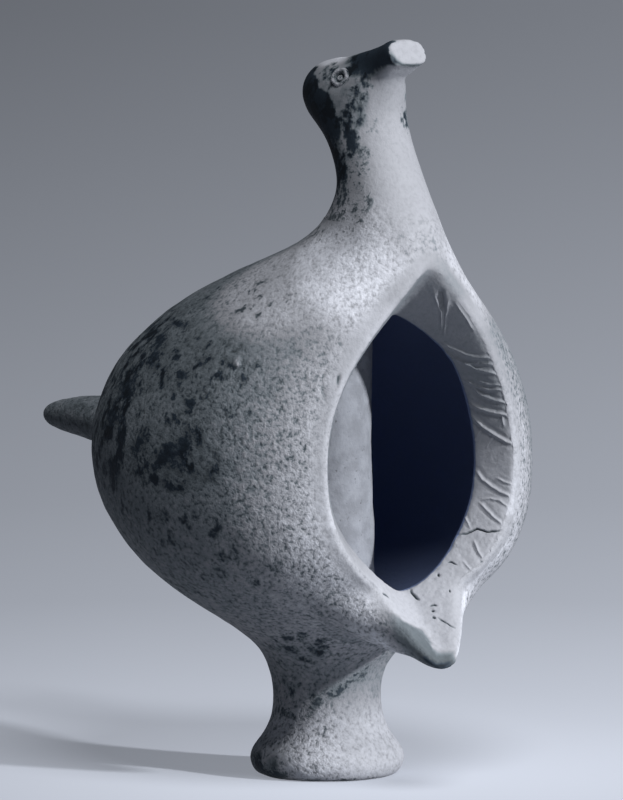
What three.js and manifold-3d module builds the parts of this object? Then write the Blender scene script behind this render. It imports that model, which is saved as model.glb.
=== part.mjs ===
// Bird-shaped clay vessel on a stem foot, hand-built from separate clay members luted together.
// Millimetres, +Z up. The origin is the centre of the foot's flat underside, and the bird faces +X.
import * as THREE from "three";
import { mergeVertices } from "three/addons/utils/BufferGeometryUtils.js";
import Module from "manifold-3d";

const wasm = await Module();
wasm.setup();

// Wall of the hollow body, and the clearance that is left where one member is cut to fit another
const WALL = 14;
const SEAM = 0.3;

// Stem foot: a turned pad that draws in to a waist and opens again under the body
const FOOT_CONTACT_RADIUS = 20.5;
const FOOT_PAD_RADIUS = 22.9;
const FOOT_PAD_HEIGHT = 4.8;
const FOOT_SHOULDER_HEIGHT = 10.7;
const STEM_RADIUS = 15.8;
const STEM_WAIST_HEIGHT = 24.6;
const STEM_TOP_HEIGHT = 33.5;
const STEM_TOP_RADIUS = 17.7;

// Body: level sections, from the seam on the stem to the seam under the neck
const NECK_SEAM_HEIGHT = 169;
const NECK_SEAM = { back: 9.2, front: 48, halfWidth: 14.9 };
const BELLY_HEIGHT = 97;
const BODY_BACK = 74.4;
const BODY_FRONT = 58.3;
const BODY_HALF_WIDTH = 65.4;
const BODY_STATIONS = [
  { height: STEM_TOP_HEIGHT, back: -STEM_TOP_RADIUS, front: STEM_TOP_RADIUS, halfWidth: STEM_TOP_RADIUS },
  { height: 39.4, back: -20.4, front: 23.4, halfWidth: 21.9 },
  { height: 45.3, back: -28.4, front: 30.4, halfWidth: 29.4 },
  { height: 53.3, back: -42.3, front: 41.8, halfWidth: 41.9 },
  { height: 65.1, back: -57.1, front: 52.9, halfWidth: 55 },
  { height: 79, back: -68.6, front: 57.3, halfWidth: 62.9 },
  { height: BELLY_HEIGHT, back: -BODY_BACK, front: BODY_FRONT, halfWidth: BODY_HALF_WIDTH },
  { height: 111.8, back: -72.1, front: 57.3, halfWidth: 62.9 },
  { height: 125.8, back: -65.4, front: 56.5, halfWidth: 55.6 },
  { height: 136.8, back: -54.6, front: 56.1, halfWidth: 45.6 },
  { height: 144.8, back: -41.1, front: 55.1, halfWidth: 36.1 },
  { height: 150.8, back: -27.4, front: 54.3, halfWidth: 28.6 },
  { height: 156.8, back: -11, front: 52.9, halfWidth: 21.9 },
  { height: 163.8, back: 4, front: 50.2, halfWidth: 16.9 },
  { height: NECK_SEAM_HEIGHT, ...NECK_SEAM },
];

// Hollow: the outside drawn in by the wall, rounded at its flat floor and vaulted under its flat roof.
// The wall is thinner in front of the floor, where the opening comes to its lower point.
const HOLLOW_FLOOR_HEIGHT = 50.3;
const HOLLOW_ROOF_HEIGHT = 147.8;
const FLOOR_ROUND_HEIGHT = 4;
const FLOOR_DRAW = 3;
const VAULT_START_HEIGHT = 124;
const VAULT_DRAW = { back: 7, front: 16, side: 2.5 };
const FRONT_THINNING = { height: 59, spread: 8, depth: 3.8 };

// Opening in the breast: straight knife cuts that all point at one place inside the body.
// Its outline is given as slopes away from that place: widest part, top, bottom and the curves between.
const CUT_AIM = new THREE.Vector3(-12, 0, 103.2);
const CUT_REACH = 100;
const CUT_START = 20;
const OPENING_SIDE_SLOPE = 0.556;
const OPENING_SIDE_RISE = -0.11;
const OPENING_TOP_SLOPE = 0.815;
const OPENING_BOTTOM_SLOPE = -0.9;
const OPENING_CURVES = {
  bottom: { share: 0.54, rise: 0.23 },
  belowSide: 0.39,
  aboveSide: 0.41,
  top: { share: 0.6, fall: 0.315 },
};

// Lip: the pointed lower end of the opening, drawn out in front of the body like a small spout
const LIP_STATIONS = [
  { x: 28, height: 65, halfHeight: 15.5, halfWidth: 35 },
  { x: 36.3, height: 61, halfHeight: 18.8, halfWidth: 30 },
  { x: 41.3, height: 56.5, halfHeight: 17.2, halfWidth: 23.6 },
  { x: 46.4, height: 52.7, halfHeight: 12.6, halfWidth: 17.4 },
  { x: 51.5, height: 49.3, halfHeight: 10, halfWidth: 13 },
  { x: 55.6, height: 45.6, halfHeight: 8.3, halfWidth: 9.6 },
  { x: 58.7, height: 41.7, halfHeight: 5.2, halfWidth: 6.6 },
  { x: 60.8, height: 40.1, halfHeight: 3, halfWidth: 4 },
];

// Column inside the body, in line with the stem, from the floor of the hollow to its roof
const COLUMN_RADIUS = 13.3;
const COLUMN_FOOT_RADIUS = 14.6;

// Neck: level sections above its seam on the body, leaning back as they rise
const NECK_HEIGHT = 29;
const HEAD_SEAM_HEIGHT = NECK_SEAM_HEIGHT + NECK_HEIGHT;
const HEAD_SEAM = { back: -1.6, front: 33, halfWidth: 12.5 };
const NECK_STATIONS = [
  { height: NECK_SEAM_HEIGHT, ...NECK_SEAM },
  { height: NECK_SEAM_HEIGHT + 7.8, back: 14, front: 42.8, halfWidth: 12.7 },
  { height: NECK_SEAM_HEIGHT + 16.9, back: 11.3, front: 37.6, halfWidth: 11.7 },
  { height: NECK_SEAM_HEIGHT + 23.9, back: 6, front: 34.6, halfWidth: 11.9 },
  { height: HEAD_SEAM_HEIGHT, ...HEAD_SEAM },
];

// Head: level sections above the seam on the neck, closed by a small flat crown
const HEAD_STATIONS = [
  { rise: 0, ...HEAD_SEAM },
  { rise: 5, back: -5.4, front: 32.8, halfWidth: 12.7 },
  { rise: 9, back: -5.4, front: 33.6, halfWidth: 12.1 },
  { rise: 12.5, back: -3.6, front: 34.6, halfWidth: 9.9 },
  { rise: 15, back: 0.5, front: 31.2, halfWidth: 6.7 },
  { rise: 16.4, back: 6, front: 22.1, halfWidth: 3.2 },
].map(({ rise, ...section }) => ({ height: HEAD_SEAM_HEIGHT + rise, ...section }));

// Bill: a bar that rises forward out of the head and ends in a cut face, whose top leans back
const BILL_STATIONS = [
  { x: 6, rise: 10.8, halfHeight: 4.4, halfWidth: 6.4, lean: 0 },
  { x: 20.2, rise: 14.8, halfHeight: 4, halfWidth: 5.5, lean: 0 },
  { x: 30.4, rise: 16, halfHeight: 5.4, halfWidth: 5.8, lean: 0.05 },
  { x: 34.6, rise: 17.5, halfHeight: 5.2, halfWidth: 6.1, lean: 0.15 },
  { x: 38.2, rise: 19.2, halfHeight: 4.3, halfWidth: 6.4, lean: 0.3 },
  { x: 41.1, rise: 20, halfHeight: 3.6, halfWidth: 6.6, lean: 0.45 },
].map(({ rise, ...section }) => ({ height: HEAD_SEAM_HEIGHT + rise, ...section }));
const BILL_SQUARENESS = { above: 0.8, below: 0.5 };

// Tail: a round tapering bar behind the body, level with the belly
const TAIL_STATIONS = [
  { x: -59, drop: 0.2, halfHeight: 26.4, halfWidth: 29.7 },
  { x: -72.5, drop: 0.7, halfHeight: 18, halfWidth: 20.8 },
  { x: -87.8, drop: 1.2, halfHeight: 12, halfWidth: 14.3 },
  { x: -104.8, drop: 1.4, halfHeight: 8.3, halfWidth: 10.2 },
  { x: -122.7, drop: 1.1, halfHeight: 6.7, halfWidth: 8.2 },
  { x: -137.5, drop: 1.5, halfHeight: 5, halfWidth: 6.2 },
  { x: -146.8, drop: 1.9, halfHeight: 3.5, halfWidth: 4.5 },
  { x: -150.5, drop: 1.9, halfHeight: 1.7, halfWidth: 2.2 },
].map(({ drop, ...section }) => ({ height: BELLY_HEIGHT - drop, ...section }));

// Eyes: ring pellets pressed into shallow sockets on both sides of the head
const EYE = new THREE.Vector3(20.6, 9.7, HEAD_SEAM_HEIGHT + 11.6);
const EYE_FACING = new THREE.Vector3(0.45, 1, 0.55).normalize();
const EYE_RADIUS = 2.6;
const EYE_RIM_HEIGHT = 0.7;
const EYE_RIM_WIDTH = 0.5;
const EYE_BEVEL = 0.4;
const EYE_PUPIL_RADIUS = 0.9;
const EYE_SEAT_DEPTH = 0.8;
const SOCKET_CUT_HEIGHT = 8;

// Fineness of the curved surfaces
const BODY_SIDES = 48;
const BODY_STEPS = 30;
const HOLLOW_STEPS = 18;
const SMALL_SIDES = 28;
const EYE_SIDES = 24;
const TURNED_SIDES = 40;
const OUTLINE_STEPS = 14;

// Clay colours of the members, from the dark smoked tail to the pale neck
const CLAY = {
  foot: 0xb4b8c1,
  body: 0x8d929b,
  column: 0x9a9da7,
  lip: 0xabafb9,
  tail: 0x3c434d,
  neck: 0xb7bac5,
  head: 0x83878f,
  bill: 0xb9bcc6,
  eye: 0xa6aab2,
};
const CLAY_ROUGHNESS = 0.95;

// Numbers between the stations, by smooth interpolation of every column
function between(stations, key, columns) {
  const curve = new THREE.CubicInterpolant(
    stations.map((s) => s[key]),
    stations.flatMap((s) => columns.map((c) => s[c])),
    columns.length,
  );
  return (at) => {
    const values = curve.evaluate(at);
    return Object.fromEntries(columns.map((c, i) => [c, values[i]]));
  };
}

function levels(from, to, steps) {
  return Array.from({ length: steps + 1 }, (_, i) => THREE.MathUtils.lerp(from, to, i / steps));
}

// A closed solid through rings of points, with a flat cap on its first and last ring
function loft(rings) {
  const sides = rings[0].length;
  const faces = [];
  for (let i = 0; i + 1 < rings.length; i++) {
    for (let j = 0; j < sides; j++) {
      const next = (j + 1) % sides;
      const low = i * sides;
      const high = low + sides;
      faces.push(low + j, low + next, high + next);
      faces.push(low + j, high + next, high + j);
    }
  }
  const last = (rings.length - 1) * sides;
  for (let j = 1; j + 1 < sides; j++) {
    faces.push(0, j + 1, j);
    faces.push(last, last + j, last + j + 1);
  }
  const geometry = new THREE.BufferGeometry().setFromPoints(rings.flat());
  geometry.setIndex(faces);
  return geometry;
}

// Level sections: a round that reaches from back to front at one height
function levelRing(height, { back, front, halfWidth }, grow, sides) {
  const middle = (back + front) / 2;
  const reach = (front - back) / 2 + grow;
  return Array.from({ length: sides }, (_, i) => {
    const angle = (2 * Math.PI * i) / sides;
    return new THREE.Vector3(
      middle + reach * Math.cos(angle),
      (halfWidth + grow) * Math.sin(angle),
      height,
    );
  });
}

// grow widens every section, and raise lifts the top cap
function levelLoft(stations, { grow = 0, raise = 0, sides = SMALL_SIDES, steps = 10 } = {}) {
  const at = between(stations, "height", ["back", "front", "halfWidth"]);
  const from = stations[0].height;
  const to = stations.at(-1).height;
  const rings = levels(from, to, steps).map((h) => levelRing(h, at(h), grow, sides));
  rings.at(-1).forEach((p) => (p.z += raise));
  return loft(rings);
}

// Upright sections across the bird's length, each a rounded oblong whose upper part can lean back
const ROUND_SECTION = { above: 1, below: 1 };

function uprightRing(x, { height, halfHeight, halfWidth, lean }, squareness, sides) {
  return Array.from({ length: sides }, (_, i) => {
    const angle = (2 * Math.PI * i) / sides;
    const power = Math.sin(angle) < 0 ? squareness.below : squareness.above;
    const bulge = (value) => Math.sign(value) * Math.abs(value) ** power;
    const offset = halfHeight * bulge(Math.sin(angle));
    return new THREE.Vector3(x - lean * offset, halfWidth * bulge(Math.cos(angle)), height + offset);
  });
}

function uprightLoft(stations, { squareness = ROUND_SECTION, sides = SMALL_SIDES, steps = 14 } = {}) {
  const forward = stations[0].x < stations.at(-1).x;
  const ordered = (forward ? stations : stations.toReversed()).map((s) => ({ lean: 0, ...s }));
  const at = between(ordered, "x", ["height", "halfHeight", "halfWidth", "lean"]);
  return loft(
    levels(ordered[0].x, ordered.at(-1).x, steps).map((x) => uprightRing(x, at(x), squareness, sides)),
  );
}

// Booleans on closed geometries
function solid(geometry) {
  const bare = geometry.clone();
  bare.deleteAttribute("normal");
  bare.deleteAttribute("uv");
  const merged = mergeVertices(bare, 1e-4);
  return new wasm.Manifold(
    new wasm.Mesh({
      numProp: 3,
      vertProperties: merged.attributes.position.array,
      triVerts: new Uint32Array(merged.index.array),
    }),
  );
}

function fromSolid(made) {
  const mesh = made.getMesh();
  const geometry = new THREE.BufferGeometry();
  geometry.setAttribute("position", new THREE.BufferAttribute(mesh.vertProperties, 3));
  geometry.setIndex(new THREE.BufferAttribute(mesh.triVerts, 1));
  geometry.computeVertexNormals();
  return geometry;
}

function named(name, geometry, color) {
  const material = new THREE.MeshStandardMaterial({ color, roughness: CLAY_ROUGHNESS, metalness: 0 });
  const mesh = new THREE.Mesh(geometry, material);
  mesh.name = name;
  return mesh;
}

// A turned solid about the vessel's upright axis, from pairs of radius and height
function turned(pairs) {
  const points = pairs.map(([radius, height]) => new THREE.Vector2(radius, height));
  return new THREE.LatheGeometry(points, TURNED_SIDES).rotateX(Math.PI / 2);
}

function openingCutter() {
  const side = OPENING_SIDE_SLOPE;
  const { bottom, belowSide, aboveSide, top } = OPENING_CURVES;
  const low = [bottom.share * side, OPENING_BOTTOM_SLOPE + bottom.rise];
  const under = [side, OPENING_SIDE_RISE - belowSide];
  const over = [side, OPENING_SIDE_RISE + aboveSide];
  const high = [top.share * side, OPENING_TOP_SLOPE - top.fall];
  const outline = new THREE.Shape();
  outline.moveTo(0, OPENING_BOTTOM_SLOPE);
  outline.bezierCurveTo(...low, ...under, side, OPENING_SIDE_RISE);
  outline.bezierCurveTo(...over, ...high, 0, OPENING_TOP_SLOPE);
  outline.bezierCurveTo(-high[0], high[1], -over[0], over[1], -side, OPENING_SIDE_RISE);
  outline.bezierCurveTo(-under[0], under[1], -low[0], low[1], 0, OPENING_BOTTOM_SLOPE);
  const slopes = outline.getPoints(OUTLINE_STEPS).slice(0, -1);
  const ringAt = (reach) =>
    slopes.map((s) => new THREE.Vector3(1, s.x, s.y).multiplyScalar(reach).add(CUT_AIM));
  return solid(loft([ringAt(CUT_START), ringAt(CUT_REACH)]));
}

// The hollow's sections, or with a clearance those of what fits inside it
function hollowStations(clearance) {
  const outside = between(BODY_STATIONS, "height", ["back", "front", "halfWidth"]);
  return levels(HOLLOW_FLOOR_HEIGHT, HOLLOW_ROOF_HEIGHT, HOLLOW_STEPS).map((height) => {
    const { back, front, halfWidth } = outside(height);
    const low = Math.max(0, 1 - (height - HOLLOW_FLOOR_HEIGHT) / FLOOR_ROUND_HEIGHT);
    const vault = (height - VAULT_START_HEIGHT) / (HOLLOW_ROOF_HEIGHT - VAULT_START_HEIGHT);
    const draw = WALL + clearance + FLOOR_DRAW * low ** 2;
    const high = Math.max(0, vault) ** 1.5;
    const thinning = FRONT_THINNING.depth * Math.exp(-(((height - FRONT_THINNING.height) / FRONT_THINNING.spread) ** 2));
    return {
      height,
      back: back + draw + VAULT_DRAW.back * high,
      front: front - draw - VAULT_DRAW.front * high + thinning,
      halfWidth: halfWidth - draw - VAULT_DRAW.side * high,
    };
  });
}

function makeFoot() {
  const profile = new THREE.SplineCurve(
    [
      [FOOT_PAD_RADIUS - 0.7, FOOT_PAD_HEIGHT - 2.6],
      [FOOT_PAD_RADIUS, FOOT_PAD_HEIGHT],
      [FOOT_PAD_RADIUS - 0.8, FOOT_PAD_HEIGHT + 2.9],
      [FOOT_PAD_RADIUS - 3.4, FOOT_SHOULDER_HEIGHT],
      [STEM_RADIUS + 1.7, FOOT_SHOULDER_HEIGHT + 3.5],
      [STEM_RADIUS + 0.3, STEM_WAIST_HEIGHT - 6.3],
      [STEM_RADIUS, STEM_WAIST_HEIGHT],
      [STEM_RADIUS + 0.5, STEM_TOP_HEIGHT - 4.5],
      [STEM_TOP_RADIUS, STEM_TOP_HEIGHT],
    ].map(([radius, height]) => new THREE.Vector2(radius, height)),
  );
  const side = profile.getPoints(20).map((p) => [p.x, p.y]);
  const geometry = turned([[0, 0], [FOOT_CONTACT_RADIUS, 0], ...side, [0, STEM_TOP_HEIGHT]]);
  return named("pedestal_foot", fromSolid(solid(geometry)), CLAY.foot);
}

function bodyOutline(grow) {
  return solid(levelLoft(BODY_STATIONS, { grow, sides: BODY_SIDES, steps: BODY_STEPS }));
}

function hollowForm(clearance) {
  return solid(levelLoft(hollowStations(clearance), { sides: BODY_SIDES, steps: HOLLOW_STEPS }));
}

// Everything within the body's width between two heights
function slab(from, to) {
  const box = new THREE.BoxGeometry(4 * BODY_BACK, 4 * BODY_HALF_WIDTH, to - from);
  return solid(box.translate(0, 0, (from + to) / 2));
}

// The hollow body is two open bowls, luted rim to rim at the belly
function makeBowls(cutter) {
  const body = bodyOutline(0).subtract(hollowForm(0)).subtract(cutter);
  const lower = body.intersect(slab(STEM_TOP_HEIGHT - WALL, BELLY_HEIGHT));
  const upper = body.intersect(slab(BELLY_HEIGHT, NECK_SEAM_HEIGHT + WALL));
  return [
    named("body_lower", fromSolid(lower), CLAY.body),
    named("body_upper", fromSolid(upper), CLAY.body),
  ];
}

function makeColumn() {
  const geometry = turned([
    [0, HOLLOW_FLOOR_HEIGHT],
    [COLUMN_FOOT_RADIUS, HOLLOW_FLOOR_HEIGHT],
    [COLUMN_RADIUS, BELLY_HEIGHT],
    [COLUMN_RADIUS, HOLLOW_ROOF_HEIGHT],
    [0, HOLLOW_ROOF_HEIGHT],
  ]);
  const made = solid(geometry).intersect(hollowForm(SEAM));
  return named("inner_column", fromSolid(made), CLAY.column);
}

function makeLip(cutter) {
  const made = solid(uprightLoft(LIP_STATIONS)).subtract(bodyOutline(SEAM)).subtract(cutter);
  return named("breast_lip", fromSolid(made), CLAY.lip);
}

function makeTail() {
  const made = solid(uprightLoft(TAIL_STATIONS, { steps: 18 })).subtract(bodyOutline(SEAM));
  return named("tail", fromSolid(made), CLAY.tail);
}

function makeNeck() {
  return named("neck", levelLoft(NECK_STATIONS), CLAY.neck);
}

function eyeFrame(side) {
  const place = new THREE.Vector3(EYE.x, side * EYE.y, EYE.z);
  const facing = new THREE.Vector3(EYE_FACING.x, side * EYE_FACING.y, EYE_FACING.z);
  const turn = new THREE.Quaternion().setFromUnitVectors(new THREE.Vector3(0, 1, 0), facing);
  return new THREE.Matrix4().compose(place, turn, new THREE.Vector3(1, 1, 1));
}

function makeHead() {
  let made = solid(levelLoft(HEAD_STATIONS));
  const radius = EYE_RADIUS + SEAM;
  for (const side of [-1, 1]) {
    const socket = new THREE.CylinderGeometry(radius, radius, SOCKET_CUT_HEIGHT, EYE_SIDES);
    socket.translate(0, SOCKET_CUT_HEIGHT / 2 - EYE_SEAT_DEPTH - SEAM, 0);
    socket.applyMatrix4(eyeFrame(side));
    made = made.subtract(solid(socket));
  }
  return named("head", fromSolid(made), CLAY.head);
}

function makeBill() {
  const head = solid(levelLoft(HEAD_STATIONS, { grow: SEAM, raise: SEAM }));
  const made = solid(uprightLoft(BILL_STATIONS, { squareness: BILL_SQUARENESS })).subtract(head);
  return named("bill", fromSolid(made), CLAY.bill);
}

function makeEye(name, side) {
  const points = [
    [0, -EYE_SEAT_DEPTH],
    [EYE_RADIUS, -EYE_SEAT_DEPTH],
    [EYE_RADIUS, EYE_RIM_HEIGHT - EYE_BEVEL],
    [EYE_RADIUS - EYE_BEVEL, EYE_RIM_HEIGHT],
    [EYE_RADIUS - EYE_BEVEL - EYE_RIM_WIDTH, EYE_RIM_HEIGHT],
    [EYE_PUPIL_RADIUS, 0],
    [0, 0],
  ].map(([radius, height]) => new THREE.Vector2(radius, height));
  const eye = named(name, fromSolid(solid(new THREE.LatheGeometry(points, EYE_SIDES))), CLAY.eye);
  eye.applyMatrix4(eyeFrame(side));
  return eye;
}

const cutter = openingCutter();
const vessel = new THREE.Group();
vessel.name = "bird_vessel";
vessel.add(
  makeFoot(),
  ...makeBowls(cutter),
  makeColumn(),
  makeLip(cutter),
  makeTail(),
  makeNeck(),
  makeHead(),
  makeBill(),
  makeEye("eye_right", -1),
  makeEye("eye_left", 1),
);

export default vessel;
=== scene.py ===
"""A bird-shaped clay vessel on a stem foot: its fired skin, the column inside and two eye pellets."""

import math

import bmesh
import bpy
import numpy as np
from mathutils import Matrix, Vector


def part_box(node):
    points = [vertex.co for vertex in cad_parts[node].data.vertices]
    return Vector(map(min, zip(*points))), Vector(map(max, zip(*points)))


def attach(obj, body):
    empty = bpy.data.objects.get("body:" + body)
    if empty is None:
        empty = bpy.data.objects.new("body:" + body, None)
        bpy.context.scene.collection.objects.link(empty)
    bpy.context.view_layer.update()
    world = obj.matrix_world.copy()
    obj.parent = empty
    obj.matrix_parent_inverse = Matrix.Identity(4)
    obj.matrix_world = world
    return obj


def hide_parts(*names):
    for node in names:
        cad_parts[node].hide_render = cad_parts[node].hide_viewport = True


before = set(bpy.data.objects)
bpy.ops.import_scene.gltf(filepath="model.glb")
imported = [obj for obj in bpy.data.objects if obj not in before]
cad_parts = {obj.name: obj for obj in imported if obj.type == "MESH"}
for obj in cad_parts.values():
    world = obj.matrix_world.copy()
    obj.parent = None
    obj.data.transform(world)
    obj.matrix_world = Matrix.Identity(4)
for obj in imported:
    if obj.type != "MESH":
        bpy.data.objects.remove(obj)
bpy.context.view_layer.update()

MM = 0.001

# All but these were luted together and fired into one skin
OWN_NODES = ("inner_column", "eye_right", "eye_left")
SKIN_NODES = [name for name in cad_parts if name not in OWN_NODES]

# The photograph's view: degrees round from forward towards the bird's left, degrees above, and mm
VIEW_ROUND = -35.0
VIEW_ABOVE = 6.0
VIEW_DISTANCE = 3000.0
AIM_HEIGHT = 110.0
FOCAL_PIXELS = 10080.0
IMAGE_HEIGHT_PIXELS = 800.0
AIM_IN_PICTURE = (327.0, 406.3)
SENSOR_WIDTH = 36.0
AIM_LEFT_OF_OBJECT = 4.6
AIM_ABOVE_OBJECT = 1.9

# The skin's mesh, mm.
FULL_VOXEL = 0.8
VOXEL = FULL_VOXEL
SEAM_CLOSING = 0.3
WELD_DISTANCE = 0.001
# How often each edge at the cut is divided
CUT_DIVISIONS = 3
# How far a vertex moves towards its neighbours' mean in one pass
SMOOTHING_PULL = 0.8
SHORTEST_LENGTH = 1e-9

# Kinds of unevenness: a seed, the width of the lumps in mm, how many octaves, and a strength
PATCH_WANDER = (21, 9, 4, 1.0)
RIM_EDGE_WANDER = (17, 2.5, 2, 1.8)
BLACK_EDGE_WANDER = (19, 3, 3, 2.2)
LIP_EDGE_WANDER = (27, 2, 2, 0.8)
MARK_WANDERS = ((31, 2.2, 2, 1.0), (32, 2.2, 2, 1.0))
HAND_LUMPS = (3, 24, 2, 0.30)
SKIN_GRAIN = (8, 5, 2, 0.10)
CUT_GRAIN = (9, 1.8, 2, 1.0)
COLUMN_LUMPS = (5, 18, 2, 0.25)
COLUMN_GRAIN = (6, 3, 2, 0.08)
EYE_LUMPS = (11, 2.2, 2, 0.34)

# Where a soft patch ends and is full, in shares of its radii
PATCH_EDGE = (1.3, 0.6)
# A line's fall starts beyond its end, so that something of it is left there
LINE_END = -0.1
LINE_TAPER = 0.3


def box_of(node):
    """The low and the high corner of a node's box in mm."""
    return [np.array(corner, float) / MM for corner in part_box(node)]


def smooth_step(low, high, values):
    """A smooth change from 0 at low to 1 at high. Low may be the greater of the two."""
    share = np.clip((values - low) / (high - low), 0, 1)
    return share * share * (3 - 2 * share)


def blended(first, second, share):
    """First where share is 0, second where it is 1, and a mix between."""
    return first + (second - first) * share


def unit_rows(rows):
    """Each row scaled to length 1."""
    return rows / np.maximum(np.linalg.norm(rows, axis=1, keepdims=True), SHORTEST_LENGTH)


def direction(round_degrees, above_degrees):
    """The direction so far round from forward towards the bird's left, and so far above."""
    turn, rise = math.radians(round_degrees), math.radians(above_degrees)
    return np.array([math.cos(turn) * math.cos(rise), math.sin(turn) * math.cos(rise), math.sin(rise)])


def view_axes():
    """The photograph's view: the directions back to the camera, right and up."""
    back, right = direction(VIEW_ROUND, VIEW_ABOVE), direction(VIEW_ROUND + 90, 0)
    return back, right, np.cross(back, right)


def in_picture(points):
    """Where points in mm stand in the photograph, in pixels from its top left corner."""
    back, right, up = view_axes()
    away = points - np.array([0, 0, AIM_HEIGHT]) - back * VIEW_DISTANCE
    depth = -(away @ back)
    across = AIM_IN_PICTURE[0] + FOCAL_PIXELS * (away @ right) / depth
    down = AIM_IN_PICTURE[1] - FOCAL_PIXELS * (away @ up) / depth
    return np.stack([across, down], axis=1)


def line_gap(places, line, taper=LINE_TAPER):
    """Each place's distance from a bent line, and a share that falls from 1 towards the line's ends."""
    lengths = [math.dist(start, end) for start, end in zip(line, line[1:])]
    whole = sum(lengths)
    nearest = np.full(len(places), np.inf)
    place_on_line = np.zeros(len(places))
    passed = 0.0
    for start, end, length in zip(line, line[1:], lengths):
        along = np.subtract(end, start)
        share = np.clip(((places - start) @ along) / (along @ along), 0, 1)
        gap = np.linalg.norm(places - start - share[:, None] * along, axis=1)
        nearer = gap < nearest
        nearest[nearer] = gap[nearer]
        place_on_line[nearer] = (passed + share[nearer] * length) / whole
        passed += length
    from_end = np.minimum(place_on_line, 1 - place_on_line)
    return nearest, smooth_step(LINE_END, taper, from_end)


def on_the_right(points):
    """Points with those on the bird's left moved to their mirror place on its right."""
    return np.column_stack([points[:, 0], -np.abs(points[:, 1]), points[:, 2]])


def patch_share(points, patches, ragged=0.0):
    """1 inside soft ellipsoids on both sides of the bird, each a centre, radii in mm and a strength."""
    near = on_the_right(points)
    share = np.zeros(len(points))
    wander = ragged * uneven(points, PATCH_WANDER) if ragged else 0.0
    for centre, radii, strength in patches:
        distance = np.linalg.norm((near - centre) / radii, axis=1) + wander
        share = np.maximum(share, strength * smooth_step(*PATCH_EDGE, distance))
    return share


NOISE_SIZE = 512
# Each octave is turned, so that no grid shows
NOISE_TURN = np.array([[0.36, 0.48, -0.8], [-0.8, 0.6, 0.0], [0.48, 0.64, 0.6]])


def lattice_noise(points, order, values):
    """A smooth mix of the random values that stand at whole numbers round each point."""
    base = np.floor(points).astype(int)
    share = points - base
    share = share * share * (3 - 2 * share)
    total = np.zeros(len(points))
    for corner in np.ndindex(2, 2, 2):
        weight = np.prod(np.where(np.array(corner, bool), share, 1 - share), axis=1)
        index = 0
        for axis in range(3):
            index = order[(index + base[:, axis] + corner[axis]) % NOISE_SIZE]
        total += weight * values[index]
    return total


def uneven(points, kind):
    """Unevenness of one kind at points in mm, the same in every run."""
    seed, cell, octaves, strength = kind
    source = np.random.default_rng(seed)
    order = source.permutation(NOISE_SIZE)
    values = source.uniform(-1, 1, NOISE_SIZE)
    total = np.zeros(len(points))
    placed = points / cell
    for octave in range(octaves):
        placed = placed @ NOISE_TURN
        scale = 0.5**octave
        total += lattice_noise(placed / scale, order, values) * scale
    return strength * total


def zone(points, x=None, y=None, z=None):
    """1 in a zone. The two values in mm given for an axis are where it starts and where it is full."""
    share = np.ones(len(points))
    for values, span in zip(points.T, (x, y, z)):
        if span:
            share = share * smooth_step(*span, values)
    return share


# Mesh tools


def read_rows(items, name):
    """Three numbers for each item of a mesh, as rows."""
    flat = np.empty(len(items) * 3, np.float32)
    items.foreach_get(name, flat)
    return flat.reshape(-1, 3).astype(float)


def read_points(mesh):
    """A mesh's vertices in mm."""
    return read_rows(mesh.vertices, "co") / MM


def write_points(mesh, points):
    """Sets a mesh's vertices, given in mm."""
    mesh.vertices.foreach_set("co", (points * MM).astype(np.float32).ravel())
    mesh.update()


def read_normals(mesh):
    """A mesh's vertex normals."""
    return read_rows(mesh.vertex_normals, "vector")


def read_edges(mesh):
    """The two ends of each edge as two arrays of vertex numbers."""
    flat = np.empty(len(mesh.edges) * 2, np.int32)
    mesh.edges.foreach_get("vertices", flat)
    return flat[0::2], flat[1::2]


def mean_of_neighbours(values, ends, counts):
    """Each vertex's mean over its neighbours of values, which has one row a vertex."""
    first, second = ends
    size = len(counts)
    columns = []
    for column in values.T:
        total = np.bincount(first, column[second], size) + np.bincount(second, column[first], size)
        columns.append(total / counts)
    return np.array(columns).T


def smoothed(points, ends, passes):
    """Points drawn to their neighbours' mean, each as many times as passes says."""
    counts = np.maximum(sum(np.bincount(side, minlength=len(points)) for side in ends), 1)
    for step in range(int(passes.max())):
        strength = np.clip(passes - step, 0, 1)[:, None] * SMOOTHING_PULL
        points = points + strength * (mean_of_neighbours(points, ends, counts) - points)
    return points


def spread(values, ends, times):
    """The highest value among each vertex and its neighbours, repeated."""
    first, second = ends
    for _ in range(times):
        grown = values.copy()
        np.maximum.at(grown, first, values[second])
        np.maximum.at(grown, second, values[first])
        values = grown
    return values


def store(mesh, name, values):
    """Keeps one number a vertex in the mesh, for its material."""
    layer = mesh.attributes.new(name, "FLOAT", "POINT")
    layer.data.foreach_set("value", np.asarray(values, np.float32))


def in_scene(name, data):
    """A new object of a mesh, a lamp or a camera in the scene."""
    made = bpy.data.objects.new(name, data)
    bpy.context.scene.collection.objects.link(made)
    return made


def mesh_object(name, mesh):
    """A new object of a mesh in the scene, with smooth faces."""
    mesh.polygons.foreach_set("use_smooth", np.ones(len(mesh.polygons), bool))
    return in_scene(name, mesh)


def swollen_copy(node):
    """A CAD node's vertices in mm, each pushed out to close the seams, and its faces."""
    work = bmesh.new()
    work.from_mesh(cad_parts[node].data)
    bmesh.ops.remove_doubles(work, verts=work.verts, dist=WELD_DISTANCE * MM)
    work.normal_update()
    points = [(v.co + v.normal * SEAM_CLOSING * MM)[:] for v in work.verts]
    faces = [[v.index for v in face.verts] for face in work.faces]
    work.free()
    return points, faces


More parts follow.
